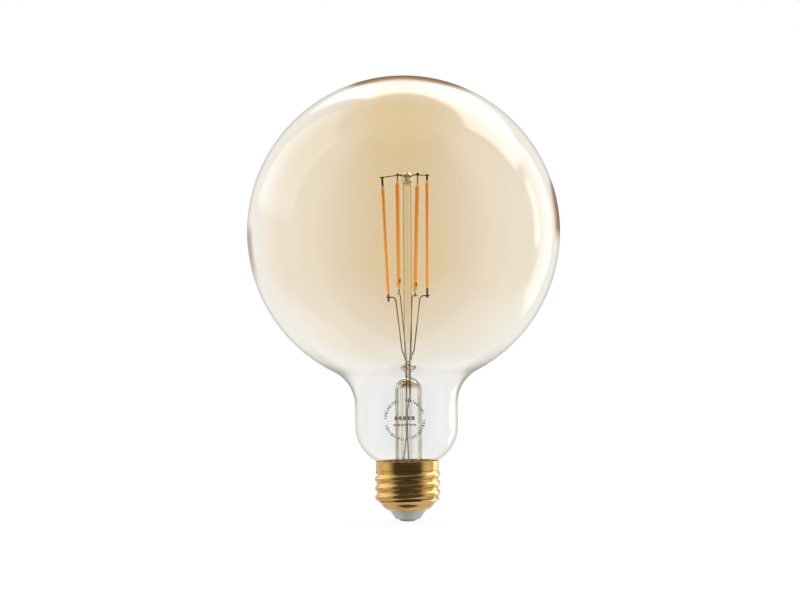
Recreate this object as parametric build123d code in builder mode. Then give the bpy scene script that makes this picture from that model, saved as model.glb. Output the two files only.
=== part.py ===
"""Globe filament lamp with a medium screw cap and a driver and radio inside the cap.

Millimetres. The origin is the middle of the centre contact's face, and +Z runs up the lamp's axis.
Every piece of the lamp is its own solid, written to its own STEP file.
"""

from build123d import *
from dataclasses import dataclass
from math import acos, atan2, cos, degrees, radians, sin, sqrt
import os

# ---------------------------------------------------------------- driving dimensions

# glass envelope
total_height = 178.0
globe_radius = 62.5
glass_wall = 0.8
neck_radius = 20.5
neck_fillet = 14.9
shoulder_radius = 15.6
shoulder_height = 38.0
tail_radius = 11.5
tail_height = 17.4
globe_height = total_height - globe_radius

# screw shell
thread_pitch = 3.629
crest_radius = 13.1
root_radius = 12.25
collar_radius = 12.6
shell_wall = 0.3
rim_height = 24.1
collar_height = 20.6
collar_step = 0.4
thread_top_crest = 18.8
thread_turns = 4
thread_runout = 0.5
taper_height = 10.2
turn_in_height = 7.0
turn_in_radius = 10.6
shell_foot_height = 4.4
shell_foot_radius = 7.3
shell_hole_radius = 7.0

# centre contact and its insulator
insulator_foot_height = 1.0
insulator_foot_radius = 5.0
insulator_top_height = 5.9
insulator_top_radius = 8.8
insulator_edge = 0.4
contact_radius = 3.7
contact_face_radius = 2.0
eyelet_radius = 1.2
eyelet_bore = 0.8
clench_radius = 1.9
clench_height = 6.3
contact_dome = 0.75
contact_swell = 0.1
contact_wall = 0.35
contact_wire_foot = 1.0
contact_solder_height = 2.2
cement_gap = 0.1
cement_height = 2.9

# thread ridge: half gap between turns, depth below the root, and how it fades at both ends
ridge_gap = 0.15
ridge_depth = 1.7
fade_margin = 0.3
fade_foot = 7.2
fade_length = 1.9
fade_top = 20.4

# stem
cap_floor = 7.3
stem_shift = 0.35
stem_tilt = 0.59
flare_radius = 5.25
flare_wall = 0.75
bell_height = 23.6
bell_lap = 1.0
dome_top = 57.6
dome_height = dome_top - flare_radius
weld_gap = 0.02
press_foot = 59.2
press_top = 63.2
press_radius = 1.45
press_lobes = ((-1.75, 0, 61.3), (1.95, 0, 61.5))
press_lobe_radius = 1.25
stem_neck_radius = 1.3
exhaust_radius = 2.1
exhaust_bore = 1.45
exhaust_tip_height = 13.6
exhaust_tip_length = 3.0
exhaust_tip_fullness = 0.75
exhaust_bore_tip = 15.6
exhaust_bore_foot = 17.6
exhaust_x = -1.0
exhaust_y = 2.05
pump_hole_radius = 0.7
pump_hole_height = 53.6

# support rod and its button, pinched between two swellings
rod_radius = 1.6
rod_taper = 1.0
button_foot = 134.3
button_lower_height = 135.7
button_lower_radius = 2.25
button_waist_height = 137.0
button_waist_radius = 1.95
button_upper_height = 138.2
button_upper_radius = 2.15
button_crown_height = 139.05
button_top = 139.1

# filaments
coat_length = 42.6
coat_width = 1.65
coat_depth = 1.15
coat_tip = 0.25
coat_bulge = 0.1
coat_end = 3.0
strip_width = 0.8
strip_thickness = 0.3
terminal_thickness = 0.25
strip_end = 0.3
chip_count = 28
chip_length = 0.7
chip_width = 0.35
chip_height = 0.12
clamp_radius = 0.5
clamp_length = 0.9

# wires inside the glass
lead_radius = 0.25
lead_bends = (1.8, 2.0, 0.6)
seal_bend_height = 64.0
slope_foot = (2.6, 68.2)
hook_tail = 1.1
bridge_radius = 0.2
bridge_tail = 1.0
bridge_shoulder = 3.0
bridge_a_height = 138.25
bridge_b_height = 137.6
bridge_bend = 1.0
outer_lead_radius = 0.3
outer_lead_bend = 0.9
outer_lead_drop = 1.2
outer_lead_heights = (44.4, 34.0, 22.0, 14.0)
live_middle = (-0.8, -3.1)
live_low = (-2.5, -3.3)
neutral_middle = (-0.4, -2.3)
neutral_low = (0.1, -2.5)
seal_x = 0.7
seal_y = -0.55
seal_top = 61.5
seal_foot = 51.4
lead_pair_spacing = 0.28
weld_bite = 0.08

# cap interior
board_radius = 11.4
board_thickness = 0.8
board_height = 10.4
board_top = board_height + board_thickness
liner_top = 17.0
wire_stub = 0.6
wire_end_height = board_height - wire_stub
solder_radius = 0.8
small_wire_radius = 0.25
small_wire_bend = 0.6
live_foot = (-2.7, -4.6)
neutral_foot = (0.9, -5.0)
antenna_foot = (2.7, -0.6)
antenna_bend_height = 17.0
antenna_bend = 1.0
antenna_tip = (2.2, -1.0, 21.5)
contact_wire_turn = (0, -2.4, 7.6)
contact_wire_top = 7.2
contact_wire_bends = (0.6, 0.6, 0.4)
shell_wire_foot = (-1.5, -9.6)
shell_wire_bend = 0.4
shell_wire_turn_height = 8.9
shell_weld = (-1.5, -10.4, 8.0)
fuse_x = -5.0
fuse_height = 8.2
fuse_radius = 1.1
fuse_length = 5.5
fuse_edge = 0.35
fuse_lead_bite = 0.3
fuse_lead_reach = 1.5
fuse_tail_y = 4.4
capacitor_x = -6.4
capacitor_radius = 2.5
capacitor_length = 9.0
capacitor_wall = 0.3
capacitor_lead_offsets = (-1.0, 1.0)
capacitor_lead_reach = 1.1
bung_length = 1.2
sleeve_wall = 0.1
sleeve_margin = 0.4
capacitor_height = board_top + capacitor_radius + sleeve_wall
inductor_place = (5.6, 4.4)
inductor_radius = 2.4
inductor_post_radius = 1.2
inductor_height = 4.5
flange_thickness = 0.8
winding_margin = 0.25
film_place = (5.2, -5.2)
film_size = (6.4, 2.8)
film_height = 4.6
film_corner = 0.4
film_edge = 0.3
rectifier_place = (-0.5, 7.0)
rectifier_size = (4.6, 3.8, 1.5)
rectifier_pins = 2
driver_chip_place = (-0.5, 6.6)
driver_chip_size = (4.9, 3.9, 1.4)
driver_chip_pins = 4
pin_width = 0.5
pin_reach = 0.7
pin_thickness = 0.2
resistor_y = -7.4
resistor_size = (1.6, 0.8, 0.45)
resistor_spacing = 2.4
resistor_count = 4
radio_board_thickness = 0.6
radio_board_size = (6.6, 7.2)
radio_place = (5.1, 0)
radio_chip_size = (3.0, 3.0, 0.8)
shield_place = (5.8, 0)
shield_size = (4.8, 5.6, 1.4)
shield_wall = 0.2
shield_corner = 0.4


@dataclass
class Filament:
    """Place of one filament round the rod: it leans out a little from its foot to its head."""

    azimuth: float
    foot_radius: float
    head_radius: float
    coat_foot: float
    hook_height: float
    head_height: float
    hook_corner: float
    tab_overhang: float
    seal_side: int

    def outward(self):
        """Unit vector from the rod to the filament."""
        return Vector(cos(radians(self.azimuth)), sin(radians(self.azimuth)), 0)

    def sideways(self):
        """Unit vector along the circle round the rod."""
        return Vector(-sin(radians(self.azimuth)), cos(radians(self.azimuth)), 0)

    def at(self, radius, height, aside=0.0):
        """Point at a radius and a height on this filament's side of the rod."""
        return self.outward() * radius + self.sideways() * aside + Vector(0, 0, height)

    def axis_point(self, height):
        """Point of the filament's own axis at a height."""
        share = (height - self.hook_height) / (self.head_height - self.hook_height)
        radius = self.foot_radius + share * (self.head_radius - self.foot_radius)
        return self.at(radius, height)

    def plane(self, height):
        """Plane across the filament at a height: x points outwards, z along the filament."""
        along = (self.axis_point(self.head_height) - self.axis_point(self.hook_height)).normalized()
        return Plane(self.axis_point(height), x_dir=self.sideways().cross(along), z_dir=along)


front_left = Filament(202, 8.3, 10.7, 90.9, 89.5, 137.2, 5.4, 1.75, -1)
front_right = Filament(292, 7.8, 11.2, 91.7, 90.3, 138.6, 3.8, 0.5, 1)
back_right = Filament(22, 8.4, 8.6, 93.2, 90.0, 138.15, 5.5, 0.8, 1)
back_left = Filament(112, 9.3, 10.4, 93.0, 90.8, 138.5, 7.4, 0.5, -1)
filaments = [front_left, front_right, back_right, back_left]


# ---------------------------------------------------------------- shared shapes


def sweep_wire(points, wire_radius, bend_radius):
    """Add a round wire to the current part, along straight runs joined by bends."""
    with BuildLine() as run:
        FilletPolyline(*points, radius=bend_radius)
    with BuildSketch(Plane(run.line @ 0, z_dir=run.line % 0)) as wire_end:
        Circle(wire_radius)
    sweep(wire_end.sketch, path=run.line)


def envelope_outline(inset):
    """Half outline of the envelope at a depth below its outer face, from the crown to the tail."""
    ball = globe_radius - inset
    throat = neck_fillet + inset
    shoulder = shoulder_radius - inset
    neck = neck_radius - inset
    tail = tail_radius - inset
    throat_r = neck_radius + neck_fillet
    throat_drop = sqrt((globe_radius + neck_fillet) ** 2 - throat_r**2)
    shoulder_r = neck_radius - shoulder_radius
    join = degrees(atan2(throat_r, throat_drop))
    turn = degrees(acos((tail - shoulder_r) / shoulder))
    with BuildLine(mode=Mode.PRIVATE) as outline:
        CenterArc((0, globe_height), ball, 90, join - 180)
        throat_arc = CenterArc((throat_r, globe_height - throat_drop), throat, 90 + join, 90 - join)
        Line(throat_arc @ 1, (neck, shoulder_height))
        shoulder_arc = CenterArc((shoulder_r, shoulder_height), shoulder, 0, -turn)
        Line(shoulder_arc @ 1, (tail, tail_height))
    return outline.line


def stem_outline(inset):
    """Half outline of the stem tube at a depth below its outer face, from the bell to the dome."""
    tube = flare_radius - inset
    bell_radius = tail_radius - glass_wall
    with BuildLine(mode=Mode.PRIVATE) as outline:
        bell = CenterArc((bell_radius, bell_height), bell_radius - tube, -90, -90)
        Line((bell_radius + bell_lap, (bell @ 0).Y), bell @ 0)
        Line(bell @ 1, (tube, dome_height))
        CenterArc((0, dome_height), tube, 0, 90)
    return outline.line


def close_outline(outer, inner):
    """Add two half outlines to the current sketch and join their ends into one face."""
    with BuildLine() as loop:
        add(outer)
        add(inner)
        Line(outer @ 0, inner @ 0)
        Line(outer @ 1, inner @ 1)
    make_face(loop.edges())


def shell_body(inset):
    """Solid inside the screw shell's face at a depth below it: core and faded thread ridge."""
    crest = crest_radius - inset
    root = root_radius - inset
    collar = collar_radius - inset
    flank = (crest + root) / 2
    quarter = thread_pitch / 4
    edge = 2 * quarter - ridge_gap
    foot_height = shell_foot_height + inset
    ridge_foot = root - ridge_depth
    with BuildPart() as body:
        helix_foot = thread_top_crest - thread_turns * thread_pitch
        helix_length = (thread_turns + thread_runout) * thread_pitch
        with BuildLine() as run:
            Helix(thread_pitch, helix_length, flank, center=(0, 0, helix_foot))
        with BuildSketch(Plane(run.line @ 0, x_dir=(1, 0, 0), z_dir=run.line % 0)) as ridge:
            with BuildLine():
                crest_arc = ThreePointArc((0, -quarter), (crest - flank, 0), (0, quarter))
                upper = TangentArc((0, quarter), (root - flank, edge), tangent=crest_arc % 1)
                lower = mirror(upper, about=Plane.XZ)
                Polyline(
                    upper @ 1,
                    (ridge_foot - flank, edge),
                    (ridge_foot - flank, -edge),
                    lower @ 1,
                )
            make_face()
        sweep(ridge.sketch, path=run.line, is_frenet=True)
        with BuildSketch(Plane.XZ) as fade:
            with BuildLine():
                Polyline(
                    (0, fade_foot),
                    (turn_in_radius, fade_foot),
                    (crest + fade_margin, fade_foot + fade_length),
                    (crest + fade_margin, fade_top - fade_length / 2),
                    (root - fade_margin, fade_top),
                    (0, fade_top),
                    close=True,
                )
            make_face()
        revolve(fade.sketch, Axis.Z, mode=Mode.INTERSECT)
        with BuildSketch(Plane.XZ) as core:
            with BuildLine():
                taper = Line((root, taper_height), (turn_in_radius - inset, turn_in_height))
                turn_in = TangentArc(taper @ 1, (shell_foot_radius, foot_height), tangent=taper % 1)
                Polyline(
                    turn_in @ 1,
                    (0, foot_height),
                    (0, rim_height),
                    (collar, rim_height),
                    (collar, collar_height),
                    (root, collar_height - collar_step),
                    (root, taper_height),
                )
            make_face()
        revolve(core.sketch, Axis.Z)
    return body.part


# ---------------------------------------------------------------- wires inside the glass


def lead_path(filament):
    """Points of a lead wire: hook end, corner, foot of its slope, bend above the seal, weld."""
    aside = terminal_thickness / 2 + lead_radius - weld_bite
    weld_y = seal_y + (lead_pair_spacing if filament.azimuth < 180 else -lead_pair_spacing)
    return [
        filament.at(filament.foot_radius + hook_tail, filament.hook_height, aside),
        filament.at(filament.hook_corner, filament.hook_height, aside),
        filament.at(*slope_foot),
        Vector(filament.seal_side * seal_x, weld_y, seal_bend_height),
        Vector(filament.seal_side * seal_x, weld_y, seal_top),
    ]


def bridge_path(first, second, middle_height):
    """Points of a bridge wire that joins two filament heads through the glass button."""
    return [
        first.at(first.head_radius + bridge_tail, first.head_height),
        first.at(bridge_shoulder, middle_height),
        second.at(bridge_shoulder, middle_height),
        second.at(second.head_radius + bridge_tail, second.head_height),
    ]


def outer_lead_path(side, middle, low, foot):
    """Points of an outer lead, from its seal wire down in front of the pump tube to the board."""
    return [
        (side * seal_x, seal_y, seal_foot),
        (side * seal_x, seal_y, seal_foot - outer_lead_drop),
        (*middle, outer_lead_heights[0]),
        (*middle, outer_lead_heights[1]),
        (*low, outer_lead_heights[2]),
        (*foot, outer_lead_heights[3]),
        (*foot, wire_end_height),
    ]


lead_wires = []
for filament in filaments:
    with BuildPart() as lead_wire:
        sweep_wire(lead_path(filament), lead_radius, lead_bends)
    lead_wires.append(lead_wire.part)

with BuildPart() as bridge_wire_a:
    sweep_wire(bridge_path(front_left, back_right, bridge_a_height), bridge_radius, bridge_bend)

with BuildPart() as bridge_wire_b:
    sweep_wire(bridge_path(back_left, front_right, bridge_b_height), bridge_radius, bridge_bend)

seal_wires = []
for side in (-1, 1):
    with BuildPart() as seal_wire:
        with BuildSketch(Plane.XY.offset(seal_foot)):
            with Locations((side * seal_x, seal_y)):
                Circle(lead_radius)
        extrude(amount=seal_top - seal_foot)
    seal_wires.append(seal_wire.part)

# everything that is sealed into the press, as one tool
with BuildPart() as sealed_wires:
    for wire in lead_wires + seal_wires:
        add(wire)

with BuildPart() as outer_lead_live:
    live_path = outer_lead_path(-1, live_middle, live_low, live_foot)
    sweep_wire(live_path, outer_lead_radius, outer_lead_bend)

with BuildPart() as outer_lead_neutral:
    neutral_path = outer_lead_path(1, neutral_middle, neutral_low, neutral_foot)
    sweep_wire(neutral_path, outer_lead_radius, outer_lead_bend)


# ---------------------------------------------------------------- glass

# blown globe and neck
with BuildPart() as glass_envelope:
    with BuildSketch(Plane.XZ) as wall:
        close_outline(envelope_outline(0), envelope_outline(glass_wall))
    revolve(wall.sketch, Axis.Z)

# space inside the stem tube, used to trim the pump tube where it meets the dome
with BuildPart() as stem_hollow:
    with BuildSketch(Plane.XZ) as hollow:
        roof_line = stem_outline(flare_wall + weld_gap)
        with BuildLine():
            add(roof_line)
            Polyline(
                roof_line @ 1,
                (0, cap_floor),
                ((roof_line @ 0).X, cap_floor),
                roof_line @ 0,
            )
        make_face()
    revolve(hollow.sketch, Axis.Z)

# passage from the globe through the dome into the pump tube
with BuildPart() as pump_hole:
    with BuildSketch(Plane.XZ.offset(-exhaust_y)):
        with Locations((exhaust_x, pump_hole_height)):
            Circle(pump_hole_radius)
    extrude(amount=-flare_radius)

# flared tube with its dome, neck and lobed press
with BuildPart() as stem_flare:
    with BuildSketch(Plane.XZ) as wall:
        close_outline(stem_outline(0), stem_outline(flare_wall))
    revolve(wall.sketch, Axis.Z)
    with BuildSketch(Plane.XY.offset(dome_top - flare_wall / 2)):
        Circle(stem_neck_radius)
    extrude(amount=press_foot - dome_top + flare_wall)
    with BuildSketch(Plane.XY.offset(press_foot)):
        Circle(press_radius)
    extrude(amount=press_top - press_foot)
    with Locations(*press_lobes):
        Sphere(press_lobe_radius)
    add(sealed_wires.part, mode=Mode.SUBTRACT)
    add(pump_hole.part, mode=Mode.SUBTRACT)

# pump tube, tipped off at its lower end
with BuildPart() as exhaust_tube:
    outer_x = exhaust_x + exhaust_radius
    bore_x = exhaust_x + exhaust_bore
    arc_x = exhaust_x + exhaust_tip_fullness * exhaust_radius
    with BuildSketch(Plane.XZ.offset(-exhaust_y)) as half_tube:
        with BuildLine():
            tip = ThreePointArc(
                (exhaust_x, exhaust_tip_height),
                (arc_x, exhaust_tip_height + exhaust_tip_length / 3),
                (outer_x, exhaust_tip_height + exhaust_tip_length),
            )
            Polyline(
                tip @ 1,
                (outer_x, press_foot),
                (bore_x, press_foot),
                (bore_x, exhaust_bore_foot),
                (exhaust_x, exhaust_bore_tip),
                tip @ 0,
            )
        make_face()
    revolve(half_tube.sketch, Axis((exhaust_x, exhaust_y, 0), (0, 0, 1)))
    add(stem_hollow.part, mode=Mode.INTERSECT)
    add(pump_hole.part, mode=Mode.SUBTRACT)

# solid rod with the button that grips the bridge wires
with BuildPart() as support_rod:
    with BuildSketch(Plane.XZ) as half_rod:
        with BuildLine():
            foot = Polyline((0, press_top), (press_radius, press_top), (rod_radius, press_top + rod_taper))
            button = Spline(
                (rod_radius, button_foot),
                (button_lower_radius, button_lower_height),
                (button_waist_radius, button_waist_height),
                (button_upper_radius, button_upper_height),
                (button_upper_radius / 2, button_crown_height),
                (0, button_top),
                tangents=((0, 1), (-1, 0)),
            )
            Line(foot @ 1, button @ 0)
            Line(button @ 1, foot @ 0)
        make_face()
    revolve(half_rod.sketch, Axis.Z)
    for wire in [sealed_wires.part, bridge_wire_a.part, bridge_wire_b.part]:
        add(wire, mode=Mode.SUBTRACT)


# ---------------------------------------------------------------- filaments

# one coat about its own axis: x points out from the rod, z runs along the filament
with BuildPart() as coat_form:
    half_width = coat_width / 2
    with BuildSketch(Plane.XZ) as half_coat:
        with BuildLine():
            foot = Spline(
                (coat_tip, 0),
                (half_width + coat_bulge, coat_end / 2),
                (half_width, coat_end),
                tangents=((1, 1), (0, 1)),
            )
            side = Line(foot @ 1, (half_width, coat_length - coat_end))
            crown = Spline(
                side @ 1,
                (half_width + coat_bulge, coat_length - coat_end / 2),
                (coat_tip, coat_length),
                tangents=((0, 1), (-1, 1)),
            )
            Polyline(crown @ 1, (0, coat_length), (0, 0), foot @ 0)
        make_face()
    revolve(half_coat.sketch, Axis.Z)
    scale(by=(coat_depth / coat_width, 1, 1))
    with Locations((0, 0, coat_length / 2)):
        Box(strip_width, strip_thickness, 2 * coat_length, mode=Mode.SUBTRACT)
    with Locations((0, (strip_thickness + chip_height) / 2, coat_length / 2)):
        Box(chip_width, chip_height, coat_length - coat_end, mode=Mode.SUBTRACT)

with BuildPart() as strip_form:
    with Locations((0, 0, coat_length / 2)):
        Box(strip_width, strip_thickness, coat_length + 2 * strip_end)

with BuildPart() as chip_row:
    chip_pitch = (coat_length - 2 * coat_end) / (chip_count - 1)
    for number in range(chip_count):
        with Locations((0, (strip_thickness + chip_height) / 2, coat_end + number * chip_pitch)):
            Box(chip_width, chip_height, chip_length)

filament_coats = []
filament_strips = []
for filament in filaments:
    place = filament.plane(filament.coat_foot).location
    filament_coats.append(coat_form.part.moved(place))
    filament_strips.append(strip_form.part.moved(place))

with BuildPart() as led_chips:
    for filament in filaments:
        add(chip_row.part.moved(filament.plane(filament.coat_foot).location))

# metal tabs: the foot tab is welded beside a lead wire, the head tab clamps a bridge wire
with BuildPart() as filament_terminals:
    for filament in filaments:
        foot_length = filament.coat_foot - filament.hook_height + filament.tab_overhang - strip_end
        head_rise = filament.head_height - filament.coat_foot
        head_length = head_rise - coat_length - strip_end
        with Locations(filament.plane(filament.coat_foot)):
            with Locations((0, 0, -strip_end - foot_length / 2)):
                Box(strip_width, terminal_thickness, foot_length)
            with Locations((0, 0, head_rise - head_length / 2)):
                Box(strip_width, terminal_thickness, head_length)
            with Locations((0, 0, head_rise)):
                Cylinder(clamp_radius, clamp_length, rotation=(0, 90, 0))
    for wire in lead_wires + [bridge_wire_a.part, bridge_wire_b.part]:
        add(wire, mode=Mode.SUBTRACT)


# ---------------------------------------------------------------- stem in the lamp

# the stem, sealed in by hand, stands slightly off the lamp's axis and leans to +X
stem_lean = Location((stem_shift, 0, 0), (0, stem_tilt, 0))

# the bell's edge is trimmed to the bore of the envelope's tail, where the two are fused
with BuildPart() as sealed_stem:
    add(stem_flare.part.moved(stem_lean))
    with BuildSketch(Plane.XY) as bore:
        Circle(tail_radius - glass_wall)
    extrude(bore.sketch, amount=total_height, mode=Mode.INTERSECT)

live_lead = outer_lead_live.part.moved(stem_lean)
neutral_lead = outer_lead_neutral.part.moved(stem_lean)


# ---------------------------------------------------------------- cap

# brass shell, rolled from sheet, with a hole for the insulator
shell_inside = shell_body(shell_wall)

with BuildPart() as screw_shell:
    add(shell_body(0))
    add(shell_inside, mode=Mode.SUBTRACT)
    with BuildSketch(Plane.XY.offset(shell_foot_height)):
        Circle(shell_hole_radius)
    extrude(amount=shell_wall, mode=Mode.SUBTRACT)

# insulator cone, held by the shell's turned-in foot
with BuildPart() as cap_insulator:
    with BuildSketch(Plane.XZ) as half_cone:
        with BuildLine():
            FilletPolyline(
                (eyelet_radius, insulator_foot_height),
                (insulator_foot_radius, insulator_foot_height),
                (shell_foot_radius, shell_foot_height),
                (shell_hole_radius, shell_foot_height),
                (shell_hole_radius, shell_foot_height + shell_wall),
                (shell_foot_radius, shell_foot_height + shell_wall),
                (insulator_top_radius, insulator_top_height),
                (eyelet_radius, insulator_top_height),
                radius=(insulator_edge, 0, 0, 0, 0, 0),
            )
            Line((eyelet_radius, insulator_top_height), (eyelet_radius, insulator_foot_height))
        make_face()
    revolve(half_cone.sketch, Axis.Z)

# contact eyelet, clenched over the insulator
with BuildPart() as centre_contact:
    with BuildSketch(Plane.XZ) as half_eyelet:
        with BuildLine():
            dome = ThreePointArc(
                (contact_face_radius, 0),
                ((contact_face_radius + contact_radius) / 2 + contact_swell, contact_dome / 3),
                (contact_radius, contact_dome),
            )
            Polyline(
                dome @ 1,
                (contact_radius, insulator_foot_height),
                (eyelet_radius, insulator_foot_height),
                (eyelet_radius, insulator_top_height),
                (clench_radius, insulator_top_height),
                (clench_radius, clench_height),
                (eyelet_bore, clench_height),
                (eyelet_bore, contact_wall),
                (0, contact_wall),
                (0, 0),
                dome @ 0,
            )
        make_face()
    revolve(half_eyelet.sketch, Axis.Z)

# cement ring between the glass tail and the shell's collar
with BuildPart() as capping_cement:
    with BuildSketch(Plane.XY.offset(collar_height + cement_gap)):
        Circle(collar_radius - shell_wall)
        Circle(tail_radius, mode=Mode.SUBTRACT)
    extrude(amount=cement_height)

# plastic liner that holds the board and keeps it off the shell
with BuildPart() as insulating_liner:
    with BuildSketch(Plane.XY.offset(board_height)):
        Circle(root_radius - shell_wall)
        Circle(board_radius, mode=Mode.SUBTRACT)
    extrude(amount=liner_top - board_height)


# ---------------------------------------------------------------- wires inside the cap

with BuildPart() as contact_wire:
    sweep_wire(
        [
            (fuse_x, -fuse_length / 2, fuse_height),
            (fuse_x, -fuse_length / 2 - fuse_lead_reach, fuse_height),
            contact_wire_turn,
            (0, 0, contact_wire_top),
            (0, 0, contact_wire_foot),
        ],
        small_wire_radius,
        contact_wire_bends,
    )

with BuildPart() as contact_solder:
    with BuildSketch(Plane.XY.offset(contact_wall)):
        Circle(eyelet_bore)
    extrude(amount=contact_solder_height)
    add(contact_wire.part, mode=Mode.SUBTRACT)

with BuildPart() as shell_wire:
    sweep_wire(
        [
            (*shell_wire_foot, board_top),
            (*shell_wire_foot, shell_wire_turn_height),
            shell_weld,
        ],
        small_wire_radius,
        shell_wire_bend,
    )

with BuildPart() as shell_solder:
    with Locations(shell_weld):
        Sphere(solder_radius)
    add(shell_inside, mode=Mode.INTERSECT)
    add(shell_wire.part, mode=Mode.SUBTRACT)

with BuildPart() as radio_antenna:
    sweep_wire(
        [
            (*antenna_foot, board_height - radio_board_thickness),
            (*antenna_foot, antenna_bend_height),
            antenna_tip,
        ],
        small_wire_radius,
        antenna_bend,
    )


# ---------------------------------------------------------------- driver board and its parts

# fusible resistor in the centre contact's lead, hung under the board
with BuildPart() as fuse_resistor:
    with BuildSketch(Plane.XZ.offset(-fuse_length / 2)):
        with Locations((fuse_x, fuse_height)):
            Circle(fuse_radius)
    extrude(amount=fuse_length)
    fillet(fuse_resistor.edges().filter_by(GeomType.CIRCLE), fuse_edge)
    sweep_wire(
        [
            (fuse_x, fuse_length / 2 - fuse_lead_bite, fuse_height),
            (fuse_x, fuse_tail_y, fuse_height),
            (fuse_x, fuse_tail_y, board_top),
        ],
        small_wire_radius,
        small_wire_bend,
    )

# electrolytic capacitor lying on the board, in a plain plastic sleeve
capacitor_foot = -capacitor_length / 2
capacitor_plane = Plane(
    (capacitor_x, capacitor_foot, capacitor_height), x_dir=(1, 0, 0), z_dir=(0, 1, 0)
)

with BuildPart() as capacitor_can:
    with BuildSketch(capacitor_plane):
        Circle(capacitor_radius)
    extrude(amount=capacitor_length)
    fillet(capacitor_can.edges().filter_by(GeomType.CIRCLE), capacitor_wall)
    with BuildSketch(capacitor_plane) as mouth:
        Circle(capacitor_radius - capacitor_wall)
    extrude(mouth.sketch, amount=bung_length, mode=Mode.SUBTRACT)

with BuildPart() as capacitor_sleeve:
    with BuildSketch(capacitor_plane.offset(sleeve_margin)):
        Circle(capacitor_radius + sleeve_wall)
        Circle(capacitor_radius, mode=Mode.SUBTRACT)
    extrude(amount=capacitor_length - 2 * sleeve_margin)

with BuildPart() as capacitor_leads:
    for aside in capacitor_lead_offsets:
        sweep_wire(
            [
                (capacitor_x + aside, capacitor_foot + bung_length, capacitor_height),
                (capacitor_x + aside, capacitor_foot - capacitor_lead_reach, capacitor_height),
                (capacitor_x + aside, capacitor_foot - capacitor_lead_reach, wire_end_height),
            ],
            small_wire_radius,
            small_wire_bend,
        )

with BuildPart() as capacitor_bung:
    with BuildSketch(capacitor_plane):
        Circle(capacitor_radius - capacitor_wall)
    extrude(amount=bung_length)
    add(capacitor_leads.part, mode=Mode.SUBTRACT)

# drum inductor: two flanges on a post, with the winding between them
post_length = inductor_height - 2 * flange_thickness

with BuildPart() as inductor_core:
    for height in (board_top, board_top + inductor_height - flange_thickness):
        with BuildSketch(Plane.XY.offset(height)) as flange:
            with Locations(inductor_place):
                Circle(inductor_radius)
        extrude(flange.sketch, amount=flange_thickness)
    with BuildSketch(Plane.XY.offset(board_top + flange_thickness)) as post:
        with Locations(inductor_place):
            Circle(inductor_post_radius)
    extrude(post.sketch, amount=post_length)

with BuildPart() as inductor_winding:
    with BuildSketch(Plane.XY.offset(board_top + flange_thickness)):
        with Locations(inductor_place):
            Circle(inductor_radius - winding_margin)
            Circle(inductor_post_radius, mode=Mode.SUBTRACT)
    extrude(amount=post_length)

# boxed film capacitor
with BuildPart() as input_capacitor:
    with BuildSketch(Plane.XY.offset(board_top)):
        with Locations(film_place):
            RectangleRounded(*film_size, film_corner)
    extrude(amount=film_height)
    fillet(input_capacitor.faces().sort_by(Axis.Z)[-1].edges(), film_edge)


def add_chip(centre, size, base, side, pin_count):
    """Add a moulded chip to the current part, standing on a board face, with flat pins."""
    length, width, height = size
    middle = base + side * height / 2
    with Locations((*centre, middle)):
        Box(length, width, height)
    with Locations((*centre, base + side * pin_thickness / 2)):
        with GridLocations(length / pin_count, 0, pin_count, 1):
            Box(pin_width, width + 2 * pin_reach, pin_thickness)


with BuildPart() as bridge_rectifier:
    add_chip(rectifier_place, rectifier_size, board_top, 1, rectifier_pins)

with BuildPart() as driver_chip:
    add_chip(driver_chip_place, driver_chip_size, board_height, -1, driver_chip_pins)

with BuildPart() as chip_resistors:
    with Locations((0, resistor_y, board_height - resistor_size[2] / 2)):
        with GridLocations(resistor_spacing, 0, resistor_count, 1):
            Box(*resistor_size)

# radio module under the board: its own small board, a chip and a shield can
with BuildPart() as radio_board:
    with BuildSketch(Plane.XY.offset(board_height - radio_board_thickness)):
        with Locations(radio_place):
            Rectangle(*radio_board_size)
    extrude(amount=radio_board_thickness)
    add(radio_antenna.part, mode=Mode.SUBTRACT)

radio_face = board_height - radio_board_thickness

with BuildPart() as radio_chip:
    with Locations((*shield_place, radio_face - radio_chip_size[2] / 2)):
        Box(*radio_chip_size)

with BuildPart() as radio_shield:
    with Locations((*shield_place, radio_face - shield_size[2] / 2)):
        Box(*shield_size)
    fillet(radio_shield.edges().filter_by(Axis.Z), shield_corner)
    offset(amount=-shield_wall, openings=radio_shield.faces().sort_by(Axis.Z)[-1])

# round driver board with holes for the wires that pass through it
through_wires = [
    live_lead,
    neutral_lead,
    radio_antenna.part,
    shell_wire.part,
    fuse_resistor.part,
    capacitor_leads.part,
]

with BuildPart() as driver_board:
    with BuildSketch(Plane.XY.offset(board_height)):
        Circle(board_radius)
    extrude(amount=board_thickness)
    for wire in through_wires:
        add(wire, mode=Mode.SUBTRACT)

# solder cones round the wires, under the board
lean_at_board = stem_shift + sin(radians(stem_tilt)) * board_height
solder_places = [
    (live_foot[0] + lean_at_board, live_foot[1]),
    (neutral_foot[0] + lean_at_board, neutral_foot[1]),
    shell_wire_foot,
    (fuse_x, fuse_tail_y),
]
for aside in capacitor_lead_offsets:
    solder_places.append((capacitor_x + aside, capacitor_foot - capacitor_lead_reach))

with BuildPart() as board_solder:
    for place in solder_places:
        with Locations((*place, (board_height + wire_end_height) / 2)):
            Cone(solder_radius / 2, solder_radius, board_height - wire_end_height)
    for wire in through_wires:
        add(wire, mode=Mode.SUBTRACT)


# ---------------------------------------------------------------- write every piece

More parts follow.
